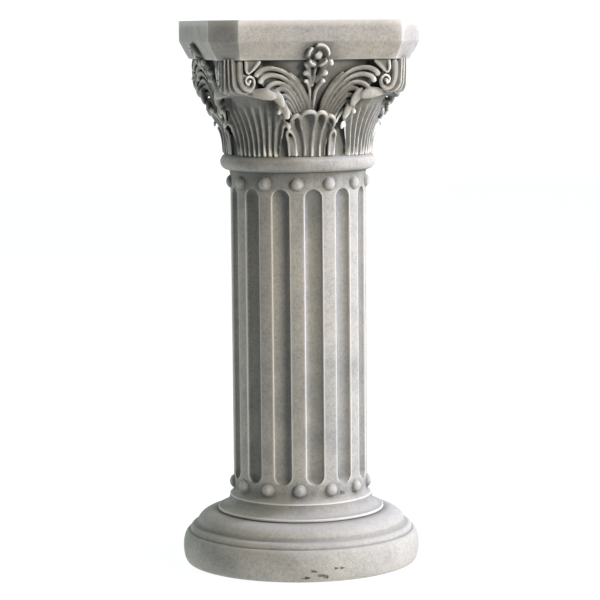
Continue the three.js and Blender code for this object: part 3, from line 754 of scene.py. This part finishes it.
bevel_rise = np.linspace(0, 1, 5)
slab_levels = [(BELL_TOP + BEVEL_HEIGHT * k, BEVEL_INSET * (1 - k)) for k in bevel_rise]
slab_levels += [(BELL_TOP + BEVEL_HEIGHT + BAND_HEIGHT * k, 0) for k in (0.33, 0.67, 1)]
slab_levels += [(ABACUS_TOP, inset) for inset in (3.5, 8, 20, 45)]
slab = make_object("slab", [turned(np.array([slab_ring(z, inset) for z, inset in slab_levels]))])
wear = slab.modifiers.new("wear", "BEVEL")
wear.width = WORN_EDGE * MM
wear.segments = 3
wear.limit_method = "ANGLE"
wear.angle_limit = math.radians(20)
apply_modifiers(slab)
print("square top", triangles(slab), "triangles")

# %% [markdown]
# The parts are joined by booleans, so the piece is one closed skin like the casting itself, with
# nothing hidden inside.

# %% One casting
pedestal = base
pedestal.name = "cast_stone_pedestal"
fuse(pedestal, [shaft, studs, ring, slab, capital])
print("pedestal", triangles(pedestal), "triangles")

# %% [markdown]
# Shader maths reads best as plain expressions. The small class Value wraps a socket, so that
# 0.9 + grain or grain * 0.2 adds the Math node by itself. The class Nodes mixes colours and turns
# vectors into numbers, and any other node comes from its one method node.

# %% Shader helper
class Value:
    """A number that varies over the surface, held as a node socket."""

    def __init__(self, tree, socket):
        self.tree, self.socket = tree, socket

    def maths(self, operation, *terms):
        node = self.tree.nodes.new("ShaderNodeMath")
        node.operation = operation
        for place, term in enumerate(terms):
            put(self.tree, node.inputs[place], term)
        return Value(self.tree, node.outputs[0])

    def __add__(self, other):
        return self.maths("ADD", self, other)

    def __radd__(self, other):
        return self.maths("ADD", other, self)

    def __mul__(self, other):
        return self.maths("MULTIPLY", self, other)

    def __rmul__(self, other):
        return self.maths("MULTIPLY", other, self)


def put(tree, socket, value):
    """Links a socket or sets a plain value."""
    if isinstance(value, Value):
        tree.links.new(value.socket, socket)
    else:
        socket.default_value = value


class Nodes:
    """The nodes of a material or a world."""

    def __init__(self, tree):
        self.tree = tree

    def node(self, kind, settings=None, stops=None, output=0, **values):
        made = self.tree.nodes.new(kind)
        for key, value in (settings or {}).items():
            setattr(made, key, value)
        for place, (spot, colour) in enumerate(stops or ()):
            ramp = made.color_ramp.elements
            stop = ramp[place] if place < 2 else ramp.new(spot)
            stop.position, stop.color = spot, (*colour, 1)
        for key, value in values.items():
            put(self.tree, made.inputs[key.replace("_", " ")], value)
        return Value(self.tree, made.outputs[output])

    def mix(self, factor, first, second, blend="MIX"):
        made = self.tree.nodes.new("ShaderNodeMix")
        made.data_type, made.blend_type = "RGBA", blend
        for place, value in ((0, factor), (6, first), (7, second)):
            put(self.tree, made.inputs[place], value)
        return Value(self.tree, made.outputs[2])

    def dot(self, vector, direction):
        made = self.tree.nodes.new("ShaderNodeVectorMath")
        made.operation = "DOT_PRODUCT"
        put(self.tree, made.inputs[0], vector)
        made.inputs[1].default_value = direction
        return Value(self.tree, made.outputs["Value"])

    def stretch(self, value, low, high, bottom, top):
        """Turns low..high into bottom..top."""
        ends = {"From_Min": low, "From_Max": high, "To_Min": bottom, "To_Max": top}
        return self.node("ShaderNodeMapRange", Value=value, **ends)


class Surface(Nodes):
    """A material with the nodes that feed its shader."""

    def __init__(self, name):
        self.material = bpy.data.materials.new(name)
        self.material.use_nodes = True
        super().__init__(self.material.node_tree)
        self.shader = self.tree.nodes["Principled BSDF"]

    def feed(self, **values):
        for key, value in values.items():
            put(self.tree, self.shader.inputs[key.replace("_", " ")], value)

# %% [markdown]
# Three values are measured on the mesh and kept at its points. The first, crest, tells how far a
# surface curves outwards at a point: crests are painted pale, as wear with a painted highlight,
# and creases get painted shade. The second, shelter, is the share of short rays that hit the stone
# again, and a near hit counts for more: painted shade darkens the sheltered hollows, such as the
# flutes and the gaps between the leaves. The third, upward, is high on faces that look up, which
# are painted lighter as if lit from above.

# %% Crests and sheltered hollows
RAYS = 20
REACH = 0.05
LIFT_OFF = 0.0007
CREST_SCALE = 0.0012


def mesh_arrays(mesh):
    """Points, normals and the two ends of every edge."""
    count = len(mesh.vertices)
    points, normals = np.empty(count * 3), np.empty(count * 3)
    mesh.vertices.foreach_get("co", points)
    mesh.vertices.foreach_get("normal", normals)
    edges = np.empty(len(mesh.edges) * 2, np.int32)
    mesh.edges.foreach_get("vertices", edges)
    return points.reshape(-1, 3), normals.reshape(-1, 3), edges.reshape(-1, 2).T


def blur(value, ends, rounds):
    """Averages a value with its neighbours along the edges."""
    a, b = ends
    for _ in range(rounds):
        total, weight = value.copy(), np.ones(len(value))
        np.add.at(total, a, value[b])
        np.add.at(total, b, value[a])
        np.add.at(weight, a, 1)
        np.add.at(weight, b, 1)
        value = total / weight
    return value


def crests(points, normals, ends):
    """How far each point stands out from its neighbours, for the square of their distance."""
    a, b = ends
    reach = np.maximum(np.linalg.norm(points[a] - points[b], axis=1), 4e-4) ** 2
    total, number = np.zeros(len(points)), np.zeros(len(points))
    np.add.at(total, a, np.einsum("ij,ij->i", points[a] - points[b], normals[a]) / reach)
    np.add.at(total, b, np.einsum("ij,ij->i", points[b] - points[a], normals[b]) / reach)
    np.add.at(number, a, 1)
    np.add.at(number, b, 1)
    return blur(total / np.maximum(number, 1), ends, 4)


def shelter(mesh, points, normals):
    """Share of rays from each point, spread evenly over its sky, that meet the stone within reach."""
    faces = [tuple(face.vertices) for face in mesh.polygons]
    tree = BVHTree.FromPolygons([Vector(p) for p in points], faces)
    turn = np.arange(RAYS) * math.pi * (3 - math.sqrt(5))
    level = (np.arange(RAYS) + 0.5) / RAYS
    along = np.where(np.abs(normals[:, 2:]) < 0.9, [[0, 0, 1.0]], [[1.0, 0, 0]])
    first = np.cross(normals, along)
    first /= np.maximum(np.linalg.norm(first, axis=1, keepdims=True), 1e-9)
    second = np.cross(normals, first)
    total = np.zeros(len(points))
    starts = [Vector(p) for p in points + normals * LIFT_OFF]
    for spin, share in zip(turn, level):
        flat = math.sqrt(1 - share**2)
        rays = normals * share + (first * math.cos(spin) + second * math.sin(spin)) * flat
        hits = [tree.ray_cast(start, Vector(ray), REACH)[3] for start, ray in zip(starts, rays)]
        total += [0 if hit is None else 1 - 0.5 * hit / REACH for hit in hits]
    return total / RAYS


points, normals, ends = mesh_arrays(pedestal.data)
measured = {
    "crest": np.clip(crests(points, normals, ends) * CREST_SCALE + 0.5, 0, 1),
    "shelter": blur(shelter(pedestal.data, points, normals), ends, 3),
    "upward": blur(np.clip(normals[:, 2], 0, 1), ends, 2),
}
for name, value in measured.items():
    layer = pedestal.data.attributes.new(name, "FLOAT", "POINT")
    layer.data.foreach_set("value", value.astype(np.float32))
    print(name, np.percentile(value, (1, 25, 50, 75, 99)).round(3))

# %% [markdown]
# Cast stone keeps a few air holes where the mix met the mould. The photo shows short ones low on
# the base and one beside a stud. They are cut last, so the values above carry over to their rims.

# %% Air holes
AIR_HOLE_DEPTH = 1.5
AIR_HOLES = (
    (-10.3, 171.5, 8.0, 3.6, 1.5), (-6.6, 173.5, 17.5, 2.6, 0.9), (3.6, 173.7, 20.2, 1.2, 0.9),
    (6.4, 173.7, 20.0, 2.0, 0.8), (-2.6, 172.6, 10.5, 1.5, 1.0), (-0.4, 172.0, 8.4, 1.2, 1.6),
    (118.0, 173.0, 13.0, 3.0, 1.3), (201.0, 173.4, 15.0, 2.2, 1.0), (23.5, 98.6, 112.0, 1.5, 1.5),
    (-92.0, 172.8, 11.0, 2.0, 1.4),
)


def air_hole(angle, radius, z, wide, tall):
    """A small blunt lens, half buried in the stone."""
    centre = polar(angle, radius, z)
    tilt = np.linspace(0.05, math.pi - 0.05, 8)[:, None]
    spin = np.linspace(0, TURN, 12, endpoint=False)[None, :]
    side = wide * np.sin(tilt) * np.cos(spin)
    depth = AIR_HOLE_DEPTH * np.sin(tilt) * np.sin(spin)
    rise = tall * np.cos(tilt)
    a = math.radians(angle)
    x, y = side * math.cos(a) - depth * math.sin(a), side * math.sin(a) + depth * math.cos(a)
    return turned(centre + np.stack(np.broadcast_arrays(x, y, rise), -1))


air_holes = make_object("air_holes", [air_hole(*spot) for spot in AIR_HOLES])
fuse(pedestal, [air_holes], "DIFFERENCE")
print("pedestal", triangles(pedestal), "triangles")

# %% [markdown]
# Cast stone is sand and cement: a warm grey ground with slow patches that lean to beige or to a
# cooler grey, a mottle of a few millimetres, and a fine speckle of dark and pale grains. Painted
# shade darkens the sheltered hollows and the creases, painted light from above pales what faces
# up, and the crests are lightened as wear with a painted highlight. The sand shows in the bump as
# well.

# %% Cast stone
# Painted shade for the sheltered hollows.
HOLLOW_SHADE = (0.053, 0.064, 0.06, 1)
# Painted shade for the creases.
CREASE_SHADE = (0.06, 0.066, 0.058, 1)
# Painted light for faces that look up.
TOP_LIGHT_PAINT = (0.62, 0.61, 0.57, 1)
# Pale wear with a painted highlight, for the crests.
WORN_PALE_AND_HIGHLIGHT = (0.78, 0.76, 0.72, 1)

stone = Surface("cast_stone")
place = stone.node("ShaderNodeTexCoord", output=3)


def noise(scale, detail=4.0, roughness=0.6):
    return stone.node("ShaderNodeTexNoise", Vector=place, Scale=scale, Detail=detail, Roughness=roughness)


def measured_value(name, low, high, top):
    """A value kept on the mesh, stretched from low..high to 0..top."""
    value = stone.node("ShaderNodeAttribute", {"attribute_name": name}, output=2)
    return stone.stretch(value, low, high, 0.0, top)


slow = noise(5.0)
patches = noise(26.0, 6.0)
mottle = noise(190.0, 3.0)
grain = noise(620.0, 2.0)
sand = noise(2200.0, 1.0)
ground = stone.node("ShaderNodeValToRGB", stops=[
    (0.36, (0.275, 0.278, 0.265)), (0.5, (0.375, 0.362, 0.335)), (0.64, (0.44, 0.412, 0.37)),
], Fac=slow * 0.55 + patches * 0.45)
specks = stone.node("ShaderNodeValToRGB", stops=[
    (0.34, (0.62, 0.62, 0.62)), (0.47, (0.95, 0.95, 0.95)),
    (0.52, (1.03, 1.03, 1.03)), (0.64, (1.22, 1.22, 1.2)),
], Fac=mottle * 0.3 + grain * 0.45 + sand * 0.25)
skin_colour = stone.mix(1.0, ground, specks, "MULTIPLY")
# Painted shade: the more sheltered a point is, the darker its colour is painted.
sheltered = stone.node("ShaderNodeAttribute", {"attribute_name": "shelter"}, output=2)
hollow_shade_amount = stone.node("ShaderNodeValToRGB", stops=[
    (0.08, (0, 0, 0)), (0.27, (0.5, 0.5, 0.5)), (0.55, (0.62, 0.62, 0.62)), (0.85, (0.93, 0.93, 0.93)),
], Fac=sheltered)
hollow_shaded = stone.mix(hollow_shade_amount, skin_colour, HOLLOW_SHADE)
# Painted shade in the creases, where the surface curves inwards.
crease_shaded = stone.mix(measured_value("crest", 0.475, 0.36, 0.72), hollow_shaded, CREASE_SHADE)
# Painted light from above: faces that look up are painted paler.
top_lit = stone.mix(measured_value("upward", 0.2, 0.9, 0.3), crease_shaded, TOP_LIGHT_PAINT)
# Pale wear and a painted highlight on the crests.
worn_and_highlit = stone.mix(measured_value("crest", 0.535, 0.625, 0.88), top_lit, WORN_PALE_AND_HIGHLIGHT)
height = sand * 0.3 + grain * 0.5 + mottle * 0.6
bump = stone.node("ShaderNodeBump", Strength=0.45, Distance=0.0006, Height=height)
stone.feed(Base_Color=worn_and_highlit, Roughness=0.86 + patches * 0.12, Normal=bump)
stone.shader.inputs["Specular IOR Level"].default_value = 0.3
pedestal.data.materials.clear()
pedestal.data.materials.append(stone.material)
for face in pedestal.data.polygons:
    face.use_smooth = True
pedestal.data.set_sharp_from_angle(angle=math.radians(38))
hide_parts("pedestal")
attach(pedestal, "root")
print("material nodes", len(stone.tree.nodes))

# %% [markdown]
# The photo is taken from a little above and to the left of the front. A long lens keeps the
# column's sides nearly parallel. The camera stands where a fit of the photo's edges puts it, and
# the spot that it looks at is measured from the foot of the axis in the photo's pixels.

# %% Camera
PHOTO_WIDTH = 600
FOCAL_PIXELS = 2400
MM_PER_PIXEL = 1.464
AIM_RISE = 261.8
AIM_ASIDE = 0.92
SENSOR_WIDTH = 36

camera_turn, camera_rise, camera_roll = math.radians(-12.77), math.radians(6.5), math.radians(0.525)
level = Vector((math.sin(camera_turn), -math.cos(camera_turn), 0))
back = level * math.cos(camera_rise) + Vector((0, 0, math.sin(camera_rise)))
right = Vector((math.cos(camera_turn), math.sin(camera_turn), 0))
up = back.cross(right)
across = right * math.cos(camera_roll) - up * math.sin(camera_roll)
upward = right * math.sin(camera_roll) + up * math.cos(camera_roll)
lens = bpy.data.cameras.new("camera")
lens.sensor_width = SENSOR_WIDTH
lens.lens = SENSOR_WIDTH * FOCAL_PIXELS / PHOTO_WIDTH
lens.clip_end = 50
camera = bpy.data.objects.new("camera", lens)
bpy.context.scene.collection.objects.link(camera)
aim = Vector((0, 0, AIM_RISE)) + across * AIM_ASIDE
pose = Matrix((across, upward, back)).transposed().to_4x4()
pose.translation = (aim + back * FOCAL_PIXELS) * MM_PER_PIXEL * MM
camera.matrix_world = pose
bpy.context.scene.camera = camera
print("camera at", [round(value, 3) for value in camera.location])

# %% [markdown]
# The photo is lit as in a studio: a cool key light high on the right makes that side almost white,
# a warm one lights the front, and a weak one behind on the left shows the edge of that side. A
# bright backdrop shines on the flanks, and the room in front is dark, so the hollows stay deep.
# The floor glows white like lit paper, so no shadow shows on it, and its glow fades to grey
# towards that dark room.

# %% Floor and light
FLOOR_HALF = 8
INTO_ROOM = (0.22, 0.975, 0.0)
LIGHT_AIM = (0, 0, 0.45)
BACKDROP_SIDE = (0.05, 0.9987, 0.0)


def lamp(name, place, size, power, colour):
    """A round area lamp that points at the column."""
    light = bpy.data.lights.new(name, "AREA")
    light.shape = "DISK"
    light.size = size
    light.energy = power
    light.color = colour
    holder = bpy.data.objects.new(name, light)
    holder.location = place
    holder.rotation_euler = (Vector(LIGHT_AIM) - Vector(place)).to_track_quat("-Z", "Y").to_euler()
    bpy.context.scene.collection.objects.link(holder)


floor_mesh = bpy.data.meshes.new("floor")
corners = [(x * FLOOR_HALF, y * FLOOR_HALF, 0) for x, y in ((-1, -1), (1, -1), (1, 1), (-1, 1))]
floor_mesh.from_pydata(corners, [], [(0, 1, 2, 3)])
floor = bpy.data.objects.new("floor", floor_mesh)
bpy.context.scene.collection.objects.link(floor)
paper = Surface("paper")
# The floor glows rather than being lit, so no shadow shows on it; its glow fades towards the front.
depth = paper.dot(paper.node("ShaderNodeTexCoord", output=3), INTO_ROOM)
glow = paper.stretch(depth, -1.2, -0.45, 0.0, 1.0)
tint = paper.mix(glow, (0.26, 0.27, 0.27, 1), (0.97, 1, 0.985, 1))
paper.feed(Base_Color=(0.1, 0.1, 0.1, 1), Roughness=0.95, Emission_Color=tint, Emission_Strength=0.95)
floor_mesh.materials.append(paper.material)

lamp("key", (3.5, -0.9, 2.3), 0.9, 225, (0.72, 0.78, 1.0))
lamp("front", (1.77, -2.83, 1.6), 1.0, 110, (1.0, 0.91, 0.8))
lamp("rim", (-2.4, 2.6, 1.0), 1.2, 36, (0.9, 1.0, 0.98))

world = bpy.data.worlds.new("studio")
world.use_nodes = True
studio = Nodes(world.node_tree)
facing = studio.dot(studio.node("ShaderNodeTexCoord"), BACKDROP_SIDE)
backdrop = studio.tree.nodes["Background"]
backdrop.inputs["Color"].default_value = (0.92, 1.0, 0.98, 1)
put(studio.tree, backdrop.inputs["Strength"], studio.stretch(facing, 0.3, 0.75, 0.04, 1.12))
bpy.context.scene.world = world
bpy.context.scene.view_settings.view_transform = "Standard"
print("lights placed")
